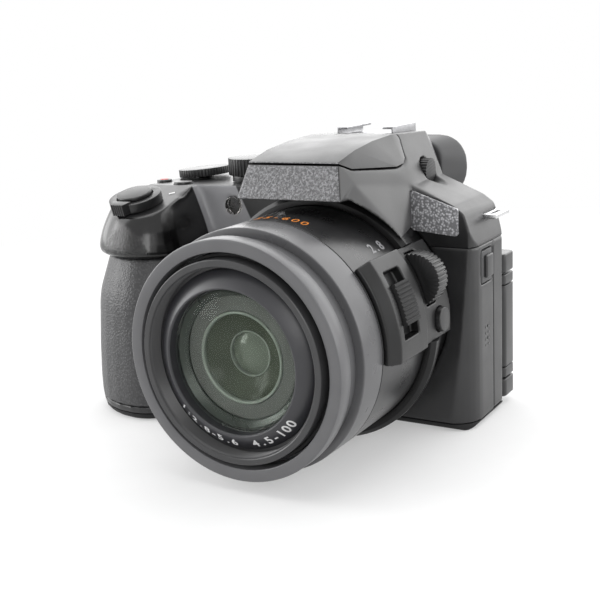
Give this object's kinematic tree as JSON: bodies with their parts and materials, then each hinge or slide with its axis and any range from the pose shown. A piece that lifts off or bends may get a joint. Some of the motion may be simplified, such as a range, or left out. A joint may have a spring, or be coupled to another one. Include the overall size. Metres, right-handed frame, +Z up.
{
  "type": "bridge camera",
  "caption": "Bridge camera with a deep hand grip, an extending zoom lens, a viewfinder hump with a pop-up flash and hot shoe, dials and buttons, and a side-hinged monitor.",
  "frame": {"origin": "centre of the mouth of the tripod socket, in the base", "axes": "+X to the side away from the grip, +Y to the rear (the lens looks along -Y), +Z up"},
  "size_m": [0.1341, 0.117, 0.0915],
  "materials": {
    "satin_plastic": "satin black, fine moulded texture",
    "barrel_plastic": "satin black, slightly lighter",
    "gloss_plastic": "smooth black",
    "dark_plastic": "matt black",
    "grip_skin": "black rubber, leather grain",
    "eyecup_rubber": "soft black rubber",
    "steel": "plain",
    "shoe_metal": "black with worn bright lips",
    "plate_metal": "plain",
    "brass_bush": "plain",
    "lens_glass": "clear, green coating",
    "lamp_lens": "clear lens",
    "flash_lens": "frosted lens",
    "screen_glass": "gloss black",
    "red_button": "black with a red dot",
    "board": "green board",
    "cell": "dark grey wrap",
    "sensor": "dark"
  },
  "bodies": {
    "camera": {"front_shell": "satin_plastic", "rear_shell": "satin_plastic", "top_cover": "satin_plastic", "base_plate": "dark_plastic", "grip_rubber": "grip_skin", "thumb_rest": "grip_skin", "side_pad": "grip_skin", "lens_collar": "barrel_plastic", "outer_barrel": "barrel_plastic", "front_ring": "barrel_plastic", "rear_group": "lens_glass", "image_sensor": "sensor", "zoom_motor": "steel", "side_block": "barrel_plastic", "af_lamp": "lamp_lens", "hot_shoe": "shoe_metal", "strap_lugs": "steel", "flash_pin": "steel", "flash_capacitor": "cell", "eyecup": "eyecup_rubber", "eyepiece_lens": "lens_glass", "evf_module": "dark_plastic", "monitor_pin": "steel", "battery": "cell", "memory_card": "cell", "chassis": "plate_metal", "main_board": "board", "case_screws": "steel", "tripod_bush": "brass_bush"},
    "front_tube": {"zoom_tube": "dark_plastic", "name_ring": "dark_plastic", "front_element": "lens_glass"},
    "middle_tube": {"mid_tube": "dark_plastic", "second_group": "lens_glass"},
    "lens_lever": {"side_lever": "dark_plastic"},
    "lens_dial": {"side_dial": "dark_plastic"},
    "lens_button": {"side_button": "gloss_plastic"},
    "flash": {"flash_head": "satin_plastic", "flash_window": "flash_lens"},
    "diopter": {"diopter_dial": "dark_plastic"},
    "shutter": {"shutter_button": "dark_plastic"},
    "shutter_lever": {"zoom_lever": "dark_plastic"},
    "record": {"record_button": "red_button"},
    "function": {"fn_button": "dark_plastic"},
    "mode": {"mode_dial": "dark_plastic"},
    "power": {"power_lever": "satin_plastic"},
    "command": {"command_dial": "dark_plastic"},
    "monitor": {"monitor_frame": "satin_plastic", "monitor_screen": "screen_glass", "monitor_hinge": "dark_plastic"},
    "cursor": {"cursor_pad": "dark_plastic"},
    "set": {"set_button": "gloss_plastic"},
    "focus": {"focus_dial": "dark_plastic"},
    "lock": {"lock_button": "gloss_plastic"},
    "finder": {"finder_button": "gloss_plastic"},
    "play": {"play_button": "gloss_plastic"},
    "menu": {"menu_button": "gloss_plastic"},
    "mic_flap": {"mic_cap": "eyecup_rubber"},
    "terminal_flap": {"terminal_door": "satin_plastic"},
    "battery_flap": {"battery_door": "dark_plastic"}
  },
  "joints": [
    {"name": "zoom_slide", "type": "slide", "parent": "camera", "child": "front_tube", "axis": [0, -1, 0], "range_m": [0, 0.045]},
    {"name": "middle_slide", "type": "slide", "parent": "camera", "child": "middle_tube", "axis": [0, -1, 0], "range_m": [0, 0.0225]},
    {"name": "lens_lever_turn", "type": "hinge", "parent": "camera", "child": "lens_lever", "pos_m": [0, -0.0486, 0.0368], "axis": [0, 1, 0], "range_deg": [-5, 5], "stiffness_Nm_per_rad": 0.05},
    {"name": "lens_dial_turn", "type": "hinge", "parent": "camera", "child": "lens_dial", "pos_m": [0.0324, -0.0314, 0.0515], "axis": [0, 1, 0], "continuous": true},
    {"name": "lens_button_press", "type": "slide", "parent": "camera", "child": "lens_button", "axis": [-0.9984, 0, -0.0558], "range_m": [0, 0.0004], "stiffness_N_per_m": 800},
    {"name": "flash_open", "type": "hinge", "parent": "camera", "child": "flash", "pos_m": [0, -0.0065, 0.0885], "axis": [-1, 0, 0], "range_deg": [0, 60]},
    {"name": "diopter_turn", "type": "hinge", "parent": "camera", "child": "diopter", "pos_m": [0.0172, 0.0046, 0.0776], "axis": [1, 0, 0], "range_deg": [-120, 120]},
    {"name": "shutter_press", "type": "slide", "parent": "camera", "child": "shutter", "axis": [0, 0.2588, -0.9659], "range_m": [0, 0.001], "stiffness_N_per_m": 800},
    {"name": "shutter_lever_turn", "type": "hinge", "parent": "camera", "child": "shutter_lever", "pos_m": [-0.069, -0.031, 0.06916], "axis": [0, -0.2588, 0.9659], "range_deg": [-20, 20], "stiffness_Nm_per_rad": 0.03},
    {"name": "record_press", "type": "slide", "parent": "camera", "child": "record", "axis": [0, 0, -1], "range_m": [0, 0.0004], "stiffness_N_per_m": 800},
    {"name": "function_press", "type": "slide", "parent": "camera", "child": "function", "axis": [0, 0, -1], "range_m": [0, 0.0004], "stiffness_N_per_m": 800},
    {"name": "mode_turn", "type": "hinge", "parent": "camera", "child": "mode", "pos_m": [-0.0435, 0, 0.078], "axis": [0, 0, 1], "continuous": true},
    {"name": "power_turn", "type": "hinge", "parent": "camera", "child": "power", "pos_m": [-0.0435, 0, 0.0748], "axis": [0, 0, 1], "range_deg": [0, 35]},
    {"name": "command_turn", "type": "hinge", "parent": "camera", "child": "command", "pos_m": [-0.0675, 0.006, 0.0744], "axis": [-0.0698, 0, 0.9976], "continuous": true},
    {"name": "monitor_swing", "type": "hinge", "parent": "camera", "child": "monitor", "pos_m": [0.0373, 0.0173, 0.02635], "axis": [0, 0, -1], "range_deg": [0, 180]},
    {"name": "cursor_press", "type": "slide", "parent": "camera", "child": "cursor", "axis": [0, -1, 0], "range_m": [0, 0.0004], "stiffness_N_per_m": 800},
    {"name": "set_press", "type": "slide", "parent": "camera", "child": "set", "axis": [0, -1, 0], "range_m": [0, 0.0004], "stiffness_N_per_m": 800},
    {"name": "focus_turn", "type": "hinge", "parent": "camera", "child": "focus", "pos_m": [-0.044, 0.022, 0.0636], "axis": [0, 1, 0], "range_deg": [-30, 30]},
    {"name": "lock_press", "type": "slide", "parent": "camera", "child": "lock", "axis": [0, -1, 0], "range_m": [0, 0.0004], "stiffness_N_per_m": 800},
    {"name": "finder_press", "type": "slide", "parent": "camera", "child": "finder", "axis": [0, -1, 0], "range_m": [0, 0.0004], "stiffness_N_per_m": 800},
    {"name": "play_press", "type": "slide", "parent": "camera", "child": "play", "axis": [0, -1, 0], "range_m": [0, 0.0004], "stiffness_N_per_m": 800},
    {"name": "menu_press", "type": "slide", "parent": "camera", "child": "menu", "axis": [0, -1, 0], "range_m": [0, 0.0004], "stiffness_N_per_m": 800},
    {"name": "mic_flap_open", "type": "hinge", "parent": "camera", "child": "mic_flap", "pos_m": [0.04125, -0.00605, 0.05], "axis": [0, 0, -1], "range_deg": [0, 90]},
    {"name": "terminal_flap_open", "type": "hinge", "parent": "camera", "child": "terminal_flap", "pos_m": [-0.0905, 0.0128, 0.0262], "axis": [0, 0, -1], "range_deg": [0, 100]},
    {"name": "battery_flap_open", "type": "hinge", "parent": "camera", "child": "battery_flap", "pos_m": [-0.0565, -0.0135, 0.001], "axis": [0, -1, 0], "range_deg": [0, 90]}
  ],
  "couplings": [
    {"joint": "middle_slide", "follows": "zoom_slide", "ratio": 0.5}
  ]
}
